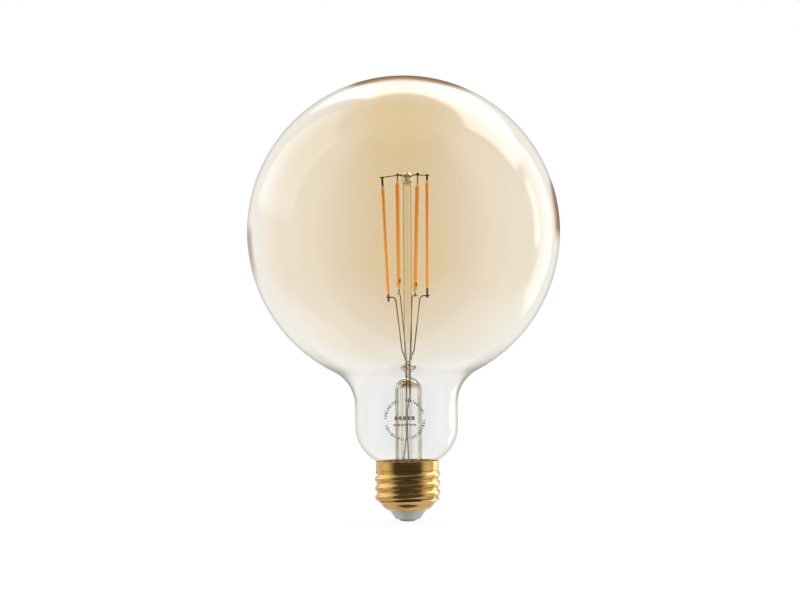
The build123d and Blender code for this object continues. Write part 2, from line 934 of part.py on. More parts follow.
stem_pieces = {
    "exhaust_tube": exhaust_tube.part,
    "support_rod": support_rod.part,
    "led_chips": led_chips.part,
    "filament_terminals": filament_terminals.part,
    "bridge_wire_a": bridge_wire_a.part,
    "bridge_wire_b": bridge_wire_b.part,
    "seal_wire_live": seal_wires[0],
    "seal_wire_neutral": seal_wires[1],
}
for number in range(len(filaments)):
    stem_pieces[f"filament_coat_{number + 1}"] = filament_coats[number]
    stem_pieces[f"filament_strip_{number + 1}"] = filament_strips[number]
    stem_pieces[f"lead_wire_{number + 1}"] = lead_wires[number]

pieces = {
    "glass_envelope": glass_envelope.part,
    "stem_flare": sealed_stem.part,
    "outer_lead_live": live_lead,
    "outer_lead_neutral": neutral_lead,
    "screw_shell": screw_shell.part,
    "cap_insulator": cap_insulator.part,
    "centre_contact": centre_contact.part,
    "contact_solder": contact_solder.part,
    "capping_cement": capping_cement.part,
    "insulating_liner": insulating_liner.part,
    "contact_wire": contact_wire.part,
    "shell_wire": shell_wire.part,
    "shell_solder": shell_solder.part,
    "fuse_resistor": fuse_resistor.part,
    "capacitor_can": capacitor_can.part,
    "capacitor_sleeve": capacitor_sleeve.part,
    "capacitor_bung": capacitor_bung.part,
    "capacitor_leads": capacitor_leads.part,
    "inductor_core": inductor_core.part,
    "inductor_winding": inductor_winding.part,
    "input_capacitor": input_capacitor.part,
    "bridge_rectifier": bridge_rectifier.part,
    "driver_chip": driver_chip.part,
    "chip_resistors": chip_resistors.part,
    "radio_board": radio_board.part,
    "radio_chip": radio_chip.part,
    "radio_shield": radio_shield.part,
    "radio_antenna": radio_antenna.part,
    "driver_board": driver_board.part,
    "board_solder": board_solder.part,
}
for name, piece in stem_pieces.items():
    pieces[name] = piece.moved(stem_lean)

os.makedirs("parts", exist_ok=True)
for name, piece in pieces.items():
    piece.label = name
    export_step(piece, f"parts/{name}.step")
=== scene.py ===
"""Looks for the globe filament lamp.

It makes the materials, the smooth glass, the printed ring, the stage, the lights and the camera.
"""

import math

import bmesh
import bpy
from mathutils import Matrix, Vector


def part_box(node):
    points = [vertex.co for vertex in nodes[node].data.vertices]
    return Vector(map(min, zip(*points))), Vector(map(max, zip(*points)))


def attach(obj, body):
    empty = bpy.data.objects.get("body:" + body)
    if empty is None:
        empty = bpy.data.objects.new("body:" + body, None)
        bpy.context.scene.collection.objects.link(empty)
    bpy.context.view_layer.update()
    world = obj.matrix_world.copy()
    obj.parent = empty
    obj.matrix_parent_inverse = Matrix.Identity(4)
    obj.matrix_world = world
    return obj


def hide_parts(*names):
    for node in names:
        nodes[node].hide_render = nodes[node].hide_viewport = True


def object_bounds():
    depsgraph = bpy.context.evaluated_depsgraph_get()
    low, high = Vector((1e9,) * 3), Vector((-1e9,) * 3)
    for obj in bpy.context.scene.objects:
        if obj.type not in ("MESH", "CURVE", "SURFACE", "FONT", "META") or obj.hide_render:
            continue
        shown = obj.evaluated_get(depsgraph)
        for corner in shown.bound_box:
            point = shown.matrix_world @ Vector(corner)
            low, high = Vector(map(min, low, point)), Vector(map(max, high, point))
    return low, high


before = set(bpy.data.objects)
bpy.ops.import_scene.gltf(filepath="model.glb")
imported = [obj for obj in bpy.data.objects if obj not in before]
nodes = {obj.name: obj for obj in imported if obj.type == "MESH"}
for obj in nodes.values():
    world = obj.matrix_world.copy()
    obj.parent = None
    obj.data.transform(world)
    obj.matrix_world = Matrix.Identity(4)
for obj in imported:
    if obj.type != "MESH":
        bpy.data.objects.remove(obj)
cad_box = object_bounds()

MM = 0.001
BYTE_MAX = 255

# envelope outline, the same as the CAD solid's
TOTAL_HEIGHT = 178.0
GLOBE_RADIUS = 62.5
GLOBE_HEIGHT = TOTAL_HEIGHT - GLOBE_RADIUS
GLASS_WALL = 0.8
NECK_RADIUS = 20.5
THROAT_RADIUS = 14.9
SHOULDER_RADIUS = 15.6
SHOULDER_HEIGHT = 38.0
TAIL_RADIUS = 11.5
TAIL_HEIGHT = 17.4

WHITE = (1.0, 1.0, 1.0, 1.0)

# heights on the lamp, in metres, where a look changes
CLEAR_BELOW, AMBER_ABOVE = 0.056, 0.090
PALE_BELOW, DEEP_ABOVE = 0.076, 0.104
NECK_EDGE_BELOW, GLOBE_EDGE_ABOVE = 0.062, 0.074
RIM_BELOW, RIM_ABOVE = 0.09, 0.11
FOLD_LOW, FOLD_HIGH = 0.048, 0.062
PRESS_LOW, PRESS_HIGH = 0.0535, 0.0640
BUTTON_BELOW, BUTTON_ABOVE = 0.1335, 0.1350

# repeats that show in the looks, in metres
DIE_PITCH = 0.001356
WIRE_TURN = 0.00022

# bump depth of a fine-grained surface, in metres
FINE_RELIEF = 0.00004
METAL_RELIEF = 0.00005
GLASS_RELIEF = 0.0006
WORKED_RELIEF = 0.0004

# thin glass: how its reflections grow towards the edge, and how rough they are
EDGE_POWER = 5.0
GLASS_ROUGHNESS = 0.03


# ---------------------------------------------------------------- node helpers


def new_material(name):
    """Empty node material."""
    mat = bpy.data.materials.new(name)
    mat.use_nodes = True
    mat.node_tree.nodes.clear()
    return mat, mat.node_tree


def put(tree, kind, links=None, **settings):
    """Add a node, set its properties, and link or fill its inputs."""
    node = tree.nodes.new(kind)
    for key, value in settings.items():
        setattr(node, key, value)
    for key, value in (links or {}).items():
        socket = node.inputs[key]
        if isinstance(value, bpy.types.NodeSocket):
            tree.links.new(value, socket)
        else:
            socket.default_value = value
    return node


def calc(tree, operation, *values):
    """Math node's output."""
    return put(tree, "ShaderNodeMath", dict(enumerate(values)), operation=operation).outputs[0]


def between(tree, value, low, high):
    """0 below low, 1 above high, smooth between them."""
    links = {"Value": value, "From Min": low, "From Max": high, "To Min": 0.0, "To Max": 1.0}
    return put(tree, "ShaderNodeMapRange", links, interpolation_type="SMOOTHSTEP").outputs[0]


def band(tree, value, low, high, soft):
    """1 between low and high, 0 outside, with soft edges."""
    rise = between(tree, value, low - soft, low + soft)
    fall = between(tree, value, high - soft, high + soft)
    return calc(tree, "MULTIPLY", rise, calc(tree, "SUBTRACT", 1.0, fall))


def blend(tree, share, first, second):
    """Colour between two colours or colour sockets."""
    links = {0: share, 6: first, 7: second}
    return put(tree, "ShaderNodeMix", links, data_type="RGBA").outputs[2]


def tint_scale(tree, colour, share):
    """Colour multiplied by a value."""
    scale = put(tree, "ShaderNodeVectorMath", {0: colour}, operation="SCALE")
    tree.links.new(share, scale.inputs["Scale"])
    return scale.outputs[0]


def ramp(tree, value, stops):
    """Colour ramp over a value."""
    node = put(tree, "ShaderNodeValToRGB", {0: value})
    elements = node.color_ramp.elements
    elements[0].position, elements[0].color = stops[0][0], (*stops[0][1], 1)
    elements[1].position, elements[1].color = stops[-1][0], (*stops[-1][1], 1)
    for position, colour in stops[1:-1]:
        elements.new(position).color = (*colour, 1)
    return node.outputs[0]


def object_point(tree):
    """Place on the object, and its height."""
    point = put(tree, "ShaderNodeTexCoord").outputs["Object"]
    return point, put(tree, "ShaderNodeSeparateXYZ", {0: point}).outputs[2]


def noise(tree, point, scale, detail=3.0):
    """Noise value between 0 and 1."""
    return put(
        tree, "ShaderNodeTexNoise", {"Vector": point, "Scale": scale, "Detail": detail}
    ).outputs[0]


def bump(tree, height, strength, distance):
    """Normal from a height."""
    links = {"Strength": strength, "Distance": distance, "Height": height}
    return put(tree, "ShaderNodeBump", links).outputs[0]


def srgb(red, green, blue):
    """Linear colour of an 8-bit one."""

    def linear(value):
        value /= BYTE_MAX
        return value / 12.92 if value <= 0.04045 else ((value + 0.055) / 1.055) ** 2.4

    return (linear(red), linear(green), linear(blue), 1.0)


def finish(tree, shader):
    """Make a shader the material's surface."""
    put(tree, "ShaderNodeOutputMaterial", {"Surface": shader})


# ---------------------------------------------------------------- materials


def surface(
    name, colour, dark, roughness, metallic=0.0, grain=900.0, relief=0.3, coat=0.0, spread=0.12
):
    """Plain moulded, ceramic or metal surface: mottled colour, uneven gloss and fine relief."""
    mat, tree = new_material(name)
    point, _ = object_point(tree)
    coarse = noise(tree, point, grain * 0.25)
    fine = noise(tree, point, grain, 6.0)
    tone = blend(tree, between(tree, coarse, 0.3, 0.7), dark, colour)
    gloss = calc(tree, "MULTIPLY_ADD", fine, spread, roughness - spread / 2)
    shader = put(
        tree,
        "ShaderNodeBsdfPrincipled",
        {
            "Base Color": tone,
            "Roughness": gloss,
            "Metallic": metallic,
            "Coat Weight": coat,
            "Normal": bump(tree, fine, relief, FINE_RELIEF),
        },
    )
    finish(tree, shader.outputs[0])
    return mat


def facing_of(tree, normal=None):
    """0 where the surface faces the eye, 1 where it is seen edge on."""
    links = {"Blend": 0.5}
    if normal is not None:
        links["Normal"] = normal
    return put(tree, "ShaderNodeLayerWeight", links).outputs["Facing"]


def thin_glass(tree, tint, relief, facing, head_on=0.04, edge_on=0.55, share=None):
    """Thin glass wall: tinted and see-through, with reflections that grow towards the edge."""
    mirror = calc(tree, "MULTIPLY_ADD", calc(tree, "POWER", facing, EDGE_POWER), edge_on, head_on)
    if share is not None:
        mirror = calc(tree, "MULTIPLY", mirror, share)
    clear = put(tree, "ShaderNodeBsdfTransparent", {"Color": tint})
    shine = put(
        tree,
        "ShaderNodeBsdfGlossy",
        {"Color": WHITE, "Roughness": GLASS_ROUGHNESS, "Normal": relief},
    )
    return put(
        tree, "ShaderNodeMixShader", {0: mirror, 1: clear.outputs[0], 2: shine.outputs[0]}
    ).outputs[0]


def product(tree, first, second):
    """Two colours multiplied."""
    links = {0: 1.0, 6: first, 7: second}
    return put(tree, "ShaderNodeMix", links, data_type="RGBA", blend_type="MULTIPLY").outputs[2]


def seen_normal(tree):
    """The surface's direction as the eye sees it: to the right, and up."""
    normal = put(tree, "ShaderNodeNewGeometry").outputs["Normal"]
    turned = put(
        tree,
        "ShaderNodeVectorTransform",
        {0: normal},
        vector_type="NORMAL",
        convert_from="WORLD",
        convert_to="CAMERA",
    )
    axes = put(tree, "ShaderNodeSeparateXYZ", {0: turned.outputs[0]})
    return axes.outputs[0], axes.outputs[1]


def envelope_material():
    """Amber glass that clears towards the neck, deepest in a band down its middle; edges darker,
    partly from the longer path through the wall and partly by painted shade; a painted dark border
    at the top and on the right as the eye sees it, and painted shade on the throat.
    """
    mat, tree = new_material("envelope_glass_look")
    point, height = object_point(tree)
    facing = facing_of(tree)
    right, up = seen_normal(tree)
    cloud = noise(tree, point, 28.0)
    drift = calc(tree, "MULTIPLY_ADD", cloud, 0.16, -0.08)
    aside = calc(tree, "ADD", calc(tree, "ABSOLUTE", right), drift)
    low_down = calc(tree, "SUBTRACT", 1.0, between(tree, height, PALE_BELOW, DEEP_ABOVE))
    aside = calc(tree, "MULTIPLY_ADD", low_down, 0.34, aside)
    amber = ramp(
        tree,
        aside,
        [
            (0.0, (0.872, 0.764, 0.582)),
            (0.16, (0.878, 0.776, 0.606)),
            (0.42, (0.906, 0.828, 0.714)),
            (0.66, (0.918, 0.852, 0.755)),
            (0.85, (0.936, 0.890, 0.815)),
            (1.0, (0.950, 0.920, 0.870)),
        ],
    )
    clear = blend(tree, cloud, (0.925, 0.925, 0.92, 1), (0.945, 0.945, 0.94, 1))
    waver = calc(tree, "MULTIPLY_ADD", cloud, 0.010, height)
    tint = blend(tree, between(tree, waver, CLEAR_BELOW, AMBER_ABOVE), clear, amber)
    pale = calc(tree, "MULTIPLY", between(tree, facing, 0.40, 0.74), 0.75)
    tint = blend(tree, pale, tint, (0.965, 0.955, 0.94, 1))
    # painted shade: edge colour of the painted dark border at the top and on the right
    painted_border_shade = ramp(
        tree,
        facing,
        [
            (0.0, (1, 1, 1)),
            (0.72, (1, 1, 1)),
            (0.80, (0.50, 0.32, 0.17)),
            (1.0, (0.12, 0.06, 0.02)),
        ],
    )
    # darker edges all round: partly the longer path through the wall, partly painted shade
    pale_edge = ramp(
        tree,
        facing,
        [
            (0.0, (1, 1, 1)),
            (0.80, (0.98, 0.97, 0.95)),
            (0.93, (0.66, 0.62, 0.55)),
            (1.0, (0.30, 0.27, 0.21)),
        ],
    )
    neck_edge = ramp(
        tree,
        facing,
        [
            (0.0, (1, 1, 1)),
            (0.60, (0.98, 0.98, 0.97)),
            (0.80, (0.84, 0.83, 0.79)),
            (1.0, (0.34, 0.32, 0.26)),
        ],
    )
    # painted shade: a dark border at the top and on the right side, as the eye sees it
    crown = calc(
        tree, "MULTIPLY", between(tree, up, 0.86, 0.95), between(tree, right, -0.42, -0.28)
    )
    flank = calc(
        tree, "MULTIPLY", between(tree, right, 0.90, 0.96), band(tree, up, -0.02, 0.34, 0.06)
    )
    on_globe = between(tree, height, RIM_BELOW, RIM_ABOVE)
    painted_dark_rim = calc(tree, "MULTIPLY", calc(tree, "MAXIMUM", crown, flank), on_globe)
    above_neck = between(tree, height, NECK_EDGE_BELOW, GLOBE_EDGE_ABOVE)
    edge = blend(tree, above_neck, neck_edge, pale_edge)
    tint = product(tree, tint, blend(tree, painted_dark_rim, edge, painted_border_shade))
    # painted shade on the throat, where the glass is seen edge on
    fold_rows = band(tree, height, FOLD_LOW, FOLD_HIGH, 0.004)
    painted_throat_shade = calc(tree, "MULTIPLY", fold_rows, between(tree, facing, 0.66, 0.90))
    tint = product(tree, tint, blend(tree, painted_throat_shade, WHITE, (0.50, 0.48, 0.36, 1)))
    relief = bump(tree, noise(tree, point, 38.0, 2.0), 0.12, GLASS_RELIEF)
    # the painted dark border also turns the reflections down, so it reads darker
    back = put(tree, "ShaderNodeNewGeometry").outputs["Backfacing"]
    hidden = calc(tree, "MAXIMUM", back, calc(tree, "MULTIPLY", painted_dark_rim, 0.85))
    shown = calc(tree, "SUBTRACT", 1.0, hidden)
    finish(tree, thin_glass(tree, tint, relief, facing, edge_on=0.65, share=shown))
    return mat


def envelope_inner_material():
    """Inside face of the envelope: clear, with faint reflections."""
    mat, tree = new_material("envelope_inner_look")
    point, _ = object_point(tree)
    facing = facing_of(tree)
    cloud = noise(tree, point, 60.0)
    tint = blend(tree, cloud, (0.985, 0.985, 0.98, 1), (0.998, 0.998, 0.995, 1))
    relief = bump(tree, noise(tree, point, 50.0, 2.0), 0.15, GLASS_RELIEF)
    finish(tree, thin_glass(tree, tint, relief, facing, 0.008, 0.05))
    return mat


def clear_glass_material(name, middle, inner, edge, scale, head_on):
    """Clear worked glass with an uneven, drawn surface: darker where it is seen edge on, which is
    painted shade, and painted dark speckles on the press and the button.
    """
    mat, tree = new_material(name)
    point, height = object_point(tree)
    uneven = noise(tree, point, scale, 3.0)
    relief = bump(tree, uneven, 0.5, WORKED_RELIEF)
    facing = facing_of(tree, relief)
    # painted shade: darker where the glass is seen edge on, in place of refraction
    tint = ramp(
        tree, facing, [(0.0, middle), (0.24, middle), (0.46, inner), (0.70, edge), (1.0, edge)]
    )
    press = band(tree, height, PRESS_LOW, PRESS_HIGH, 0.001)
    button = between(tree, height, BUTTON_BELOW, BUTTON_ABOVE)
    worked = calc(tree, "MAXIMUM", press, button)
    # painted shade: dark speckles on the press and the button
    patches = noise(tree, point, 900.0, 2.0)
    painted_dark_speckle = calc(tree, "MULTIPLY", worked, between(tree, patches, 0.48, 0.56))
    tint = product(tree, tint, blend(tree, painted_dark_speckle, WHITE, (0.66, 0.57, 0.40, 1)))
    shine = calc(tree, "MULTIPLY_ADD", calc(tree, "SUBTRACT", worked, painted_dark_speckle), 3.0, 1.0)
    finish(tree, thin_glass(tree, tint, relief, facing, head_on, 0.8, shine))
    return mat


def coat_material(name, low, high, marked):
    """Phosphor silicone: orange, yellower at the foot, with faint die rows; yellower on the right
    by painted light, and a faint painted glow.
    """
    mat, tree = new_material(name)
    point, height = object_point(tree)
    normal = put(tree, "ShaderNodeNewGeometry").outputs["Normal"]
    aside = put(tree, "ShaderNodeSeparateXYZ", {0: normal}).outputs[0]
    rise = between(tree, height, low, high)
    left = blend(tree, rise, srgb(240, 172, 80), srgb(218, 134, 48))
    right = blend(tree, rise, srgb(252, 196, 104), srgb(240, 168, 74))
    # painted light: the right side is yellower, as if lit from there
    tone = blend(tree, between(tree, aside, -0.35, 0.45), left, right)
    wave = calc(tree, "SINE", calc(tree, "MULTIPLY", height, math.tau / DIE_PITCH))
    ripple = calc(tree, "MULTIPLY_ADD", wave, 0.035, 0.965)
    mottle = calc(tree, "MULTIPLY_ADD", noise(tree, point, 900.0, 5.0), 0.12, 0.94)
    tone = tint_scale(tree, tone, calc(tree, "MULTIPLY", ripple, mottle))
    if marked:
        spot = band(tree, height, low + 0.0022, low + 0.0036, 0.0001)
        spot = calc(tree, "MULTIPLY", spot, between(tree, aside, 0.0, 0.35))
        tone = blend(tree, calc(tree, "MULTIPLY", spot, 0.8), tone, srgb(74, 48, 26))
    fine = noise(tree, point, 2600.0, 4.0)
    shader = put(
        tree,
        "ShaderNodeBsdfPrincipled",
        {
            "Base Color": tone,
            "Roughness": calc(tree, "MULTIPLY_ADD", fine, 0.15, 0.38),
            # painted glow: the unlit coat gives off a little light of its own colour
            "Emission Color": tone,
            "Emission Strength": 0.22,
            "Normal": bump(tree, fine, 0.25, METAL_RELIEF),
        },
    )
    finish(tree, shader.outputs[0])
    return mat


def brass_material():
    """Rolled brass: fine rings from rolling, and faint tarnish."""
    mat, tree = new_material("shell_brass_look")
    point, _ = object_point(tree)
    cloud = noise(tree, point, 120.0, 5.0)
    fine = noise(tree, point, 1500.0, 4.0)
    stretch = put(tree, "ShaderNodeMapping", {"Vector": point, "Scale": (1.0, 1.0, 40.0)})
    rings = noise(tree, stretch.outputs[0], 120.0, 4.0)
    tone = blend(tree, between(tree, cloud, 0.35, 0.7), srgb(186, 146, 80), srgb(212, 176, 112))
    dull = calc(tree, "MULTIPLY", between(tree, fine, 0.55, 0.8), 0.35)
    tone = blend(tree, dull, tone, srgb(132, 96, 48))
    gloss = calc(tree, "MULTIPLY_ADD", cloud, 0.16, 0.13)
    relief = calc(tree, "MULTIPLY_ADD", rings, 0.6, calc(tree, "MULTIPLY", fine, 0.25))
    shader = put(
        tree,
        "ShaderNodeBsdfPrincipled",
        {
            "Base Color": tone,
            "Metallic": 1.0,
            "Roughness": gloss,
            "Normal": bump(tree, relief, 0.35, METAL_RELIEF),
        },
    )
    finish(tree, shader.outputs[0])
    return mat


def laminate_material(name, mask, copper):
    """Circuit board: solder mask with lighter tracks showing through, over a glass-cloth weave."""
    mat, tree = new_material(name)
    point, _ = object_point(tree)
    cells = put(
        tree, "ShaderNodeTexVoronoi", {"Vector": point, "Scale": 420.0}, distance="MANHATTAN"
    ).outputs["Distance"]
    weave = noise(tree, point, 2400.0, 2.0)
    tone = blend(tree, band(tree, cells, 0.35, 0.5, 0.03), mask, copper)
    shader = put(
        tree,
        "ShaderNodeBsdfPrincipled",
        {"Base Color": tone, "Roughness": 0.35, "Normal": bump(tree, weave, 0.3, FINE_RELIEF)},
    )
    finish(tree, shader.outputs[0])
    return mat


def winding_material():
    """Enamelled copper turns, with painted shade between the turns."""
    mat, tree = new_material("winding_copper_look")
    point, height = object_point(tree)
    turn = calc(tree, "SINE", calc(tree, "MULTIPLY", height, math.tau / WIRE_TURN))
    # painted shade: darker between the turns
    tone = blend(tree, between(tree, turn, -1.0, 0.2), srgb(96, 44, 20), srgb(190, 104, 52))
    uneven = noise(tree, point, 800.0)
    shader = put(
        tree,
        "ShaderNodeBsdfPrincipled",
        {
            "Base Color": tone,
            "Metallic": 0.8,
            "Roughness": calc(tree, "MULTIPLY_ADD", uneven, 0.2, 0.22),
            "Normal": bump(tree, turn, 0.5, METAL_RELIEF),
        },
    )
    finish(tree, shader.outputs[0])
    return mat


looks = {
    "strip_ceramic": surface("strip_ceramic_look", srgb(226, 222, 210), srgb(205, 200, 186), 0.5),
    "led_die": surface("led_die_look", srgb(96, 120, 150), srgb(62, 82, 110), 0.15, 0.3),
    "terminal_metal": surface(
        "terminal_metal_look", srgb(150, 142, 130), srgb(96, 88, 76), 0.35, 0.9
    ),
    "lead_metal": surface(
        "lead_metal_look", srgb(186, 162, 120), srgb(70, 56, 40), 0.32, 0.45, grain=420.0
    ),
    "bridge_metal": surface("bridge_metal_look", srgb(104, 92, 80), srgb(52, 43, 36), 0.34, 0.85),
    "seal_copper": surface("seal_copper_look", srgb(188, 106, 56), srgb(110, 58, 30), 0.35, 0.75),
    "tinned_lead": surface(
        "tinned_lead_look", srgb(206, 200, 190), srgb(158, 152, 142), 0.35, 0.35
    ),
    "insulator_ceramic": surface(
        "insulator_ceramic_look",
        srgb(178, 177, 171),
        srgb(158, 154, 145),
        0.28,
        coat=0.4,
        grain=500.0,
    ),
    "contact_metal": surface(
        "contact_metal_look", srgb(150, 146, 138), srgb(104, 99, 90), 0.36, 0.9
    ),
    "solder": surface("solder_look", srgb(176, 176, 174), srgb(130, 130, 128), 0.28, 0.9),
    "cement": surface("cement_look", srgb(216, 186, 118), srgb(176, 144, 80), 0.7, relief=0.8),
    "liner_plastic": surface("liner_plastic_look", srgb(228, 226, 218), srgb(210, 207, 198), 0.45),
    "chip_plastic": surface(
        "chip_plastic_look", srgb(38, 38, 40), srgb(26, 26, 28), 0.55, relief=0.6
    ),
    "fuse_body": surface("fuse_body_look", srgb(96, 140, 120), srgb(70, 112, 94), 0.5),
    "capacitor_aluminium": surface(
        "capacitor_aluminium_look", srgb(196, 198, 200), srgb(164, 166, 170), 0.3, 0.95
    ),
    "sleeve_plastic": surface(
        "sleeve_plastic_look", srgb(34, 48, 82), srgb(24, 34, 62), 0.3, coat=0.3
    ),
    "bung_rubber": surface("bung_rubber_look", srgb(44, 42, 42), srgb(30, 29, 29), 0.75),
    "ferrite": surface("ferrite_look", srgb(66, 66, 68), srgb(46, 46, 48), 0.6, relief=0.7),
    "film_plastic": surface("film_plastic_look", srgb(206, 168, 70), srgb(186, 146, 52), 0.42),
    "resistor_ceramic": surface(
        "resistor_ceramic_look", srgb(40, 40, 44), srgb(210, 208, 200), 0.4
    ),
    "shield_metal": surface(
        "shield_metal_look", srgb(200, 200, 198), srgb(172, 172, 170), 0.3, 0.95
    ),
    "board_laminate": laminate_material("board_laminate_look", srgb(34, 88, 56), srgb(70, 132, 84)),
    "radio_laminate": laminate_material("radio_laminate_look", srgb(24, 44, 84), srgb(52, 80, 130)),
    "winding_copper": winding_material(),
    "shell_brass": brass_material(),
    "stem_glass": clear_glass_material(
        "stem_glass_look",
        middle=(0.997, 0.996, 0.990),
        inner=(0.94, 0.93, 0.89),
        edge=(0.50, 0.47, 0.36),
        scale=260.0,
        head_on=0.03,
    ),
    "rod_glass": clear_glass_material(
        "rod_glass_look",
        middle=(1.0, 0.995, 0.965),
        inner=(0.82, 0.73, 0.54),
        edge=(0.26, 0.18, 0.08),
        scale=320.0,
        head_on=0.08,
    ),
    "envelope_glass": envelope_material(),
    "envelope_inner": envelope_inner_material(),
}

node_looks = {
    "stem_flare": "stem_glass",
    "exhaust_tube": "stem_glass",
    "support_rod": "rod_glass",
    "led_chips": "led_die",
    "filament_terminals": "terminal_metal",
    "bridge_wire_a": "bridge_metal",
    "bridge_wire_b": "bridge_metal",
    "seal_wire_live": "seal_copper",
    "seal_wire_neutral": "seal_copper",
    "outer_lead_live": "tinned_lead",
    "outer_lead_neutral": "tinned_lead",
    "screw_shell": "shell_brass",
    "cap_insulator": "insulator_ceramic",
    "centre_contact": "contact_metal",
    "contact_solder": "solder",
    "shell_solder": "solder",
    "board_solder": "solder",
    "capping_cement": "cement",
    "insulating_liner": "liner_plastic",
    "driver_board": "board_laminate",
    "bridge_rectifier": "chip_plastic",
    "driver_chip": "chip_plastic",
    "radio_chip": "chip_plastic",
    "chip_resistors": "resistor_ceramic",
    "input_capacitor": "film_plastic",
    "fuse_resistor": "fuse_body",
    "inductor_core": "ferrite",
    "inductor_winding": "winding_copper",
    "capacitor_can": "capacitor_aluminium",
    "capacitor_sleeve": "sleeve_plastic",
    "capacitor_bung": "bung_rubber",
    "capacitor_leads": "tinned_lead",
    "contact_wire": "tinned_lead",
    "shell_wire": "tinned_lead",
    "radio_board": "radio_laminate",
    "radio_shield": "shield_metal",
    "radio_antenna": "tinned_lead",
    "glass_envelope": "envelope_glass",
}
FILAMENTS = 4
MARKED_FILAMENTS = (2, 4)
for number in range(1, FILAMENTS + 1):
    node_looks[f"filament_strip_{number}"] = "strip_ceramic"
    node_looks[f"lead_wire_{number}"] = "lead_metal"
    low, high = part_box(f"filament_coat_{number}")
    look = f"coat_{number}"
    looks[look] = coat_material(
        f"phosphor_coat_{number}_look", low.z, high.z, number in MARKED_FILAMENTS
    )
    node_looks[f"filament_coat_{number}"] = look


WELD_GAP = 1e-6
SHARP_ANGLE = 32


def smooth_cad(node):
    """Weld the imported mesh's split corners and shade it smooth, keeping its sharp edges."""
    mesh = node.data
    mesh.polygons.foreach_set("use_smooth", [True] * len(mesh.polygons))
    weld = node.modifiers.new("weld", "WELD")
    weld.merge_threshold = WELD_GAP
    split = node.modifiers.new("sharp", "EDGE_SPLIT")
    split.split_angle = math.radians(SHARP_ANGLE)


for name, node in nodes.items():
    node.data.materials.clear()
    node.data.materials.append(looks[node_looks[name]])
    if node.data.has_custom_normals:
        bpy.context.view_layer.objects.active = node
        with bpy.context.temp_override(
            object=node, active_object=node, selected_objects=[node]
        ):
            bpy.ops.mesh.customdata_custom_splitnormals_clear()
    smooth_cad(node)


# ---------------------------------------------------------------- smooth glass envelope


# steps in the envelope's outline and round its axis
BALL_STEPS = 96
BEND_STEPS = 18
ROUND_STEPS = 192
ON_AXIS = 1e-6


def arc(centre, radius, start, end, count):
    """Points on an arc in the outline's plane, angles in degrees."""
    points = []
    for step in range(count + 1):
        angle = math.radians(start + (end - start) * step / count)
        points.append(
            (centre[0] + radius * math.cos(angle), centre[1] + radius * math.sin(angle))
        )
    return points


def outline(inset):
    """Envelope outline from the crown to the tail, at a depth below the outer face."""
    throat_r = NECK_RADIUS + THROAT_RADIUS
    drop = math.sqrt((GLOBE_RADIUS + THROAT_RADIUS) ** 2 - throat_r**2)
    shoulder_r = NECK_RADIUS - SHOULDER_RADIUS
    join = math.degrees(math.atan2(throat_r, drop))
    shoulder = SHOULDER_RADIUS - inset
    turn = math.degrees(math.acos((TAIL_RADIUS - inset - shoulder_r) / shoulder))
    ball = arc((0, GLOBE_HEIGHT), GLOBE_RADIUS - inset, 90, join - 90, BALL_STEPS)
    throat_centre = (throat_r, GLOBE_HEIGHT - drop)
    throat = arc(throat_centre, THROAT_RADIUS + inset, 90 + join, 180, BEND_STEPS)
    hip = arc((shoulder_r, SHOULDER_HEIGHT), shoulder, 0, -turn, BEND_STEPS)
    return ball + throat[1:] + hip + [(TAIL_RADIUS - inset, TAIL_HEIGHT)]


def revolve(name, points, count, inner_from, materials):
    """Closed surface of revolution; the outline starts and ends on the axis."""
    form = bmesh.new()
    rings = []
    for radius, height in points:
        if radius < ON_AXIS:
            rings.append([form.verts.new((0, 0, height * MM))])
            continue
        ring = []
        for step in range(count):
            angle = math.tau * step / count
            ring.append(
                form.verts.new(
                    (radius * MM * math.cos(angle), radius * MM * math.sin(angle), height * MM)
                )
            )
        rings.append(ring)
    for index, (upper, lower) in enumerate(zip(rings, rings[1:])):
        for step in range(count):
            after = (step + 1) % count
            corners = [
                upper[step % len(upper)],
                lower[step % len(lower)],
                lower[after % len(lower)],
                upper[after % len(upper)],
            ]
            face = form.faces.new(list(dict.fromkeys(corners)))
            face.material_index = 1 if index >= inner_from else 0
    bmesh.ops.recalc_face_normals(form, faces=form.faces)
    mesh = bpy.data.meshes.new(name)
    form.to_mesh(mesh)
    form.free()
    mesh.polygons.foreach_set("use_smooth", [True] * len(mesh.polygons))
    for material in materials:
        mesh.materials.append(material)
    piece = bpy.data.objects.new(name, mesh)
    bpy.context.scene.collection.objects.link(piece)
    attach(piece, "root")
    return piece


outer_line = outline(0.0)
inner_line = outline(GLASS_WALL)
outer_line[0] = (0.0, TOTAL_HEIGHT)
inner_line[0] = (0.0, TOTAL_HEIGHT - GLASS_WALL)
globe = revolve(
    "globe_glass",
    outer_line + inner_line[::-1],
    ROUND_STEPS,
    len(outer_line) - 1,
    [looks["envelope_glass"], looks["envelope_inner"]],
)
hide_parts("glass_envelope")


# ---------------------------------------------------------------- printed ring on the neck

PRINT_X, PRINT_Z, PRINT_RADIUS = -0.8, 41.5, 7.8
INK_LIFT, INK_DEPTH = 0.03, 0.03
DASH_STEPS = 3
NECK_TOP = 100
TICKS, TICKS_IN_GROUP, TICKS_SHOWN = 48, 12, 9
TICK_REACH = 0.6

# rows of bars inside the ring: middle height, half height, half length and number of bars
PRINT_ROWS = ((0.6, 0.75, 4.2, 5), (-2.1, 0.35, 4.7, 9))
BAR_MARGIN, BAR_SHARE = 0.14, 0.72


def neck_radius_at(height):
    """Outer radius of the envelope at a height on the neck."""
    best = None
    for first, second in zip(outer_line, outer_line[1:]):
        low, high = sorted((first[1], second[1]))
        if low <= height <= high and first[1] < NECK_TOP:
            share = (height - first[1]) / (second[1] - first[1] or 1)
            best = first[0] + share * (second[0] - first[0])
    return best


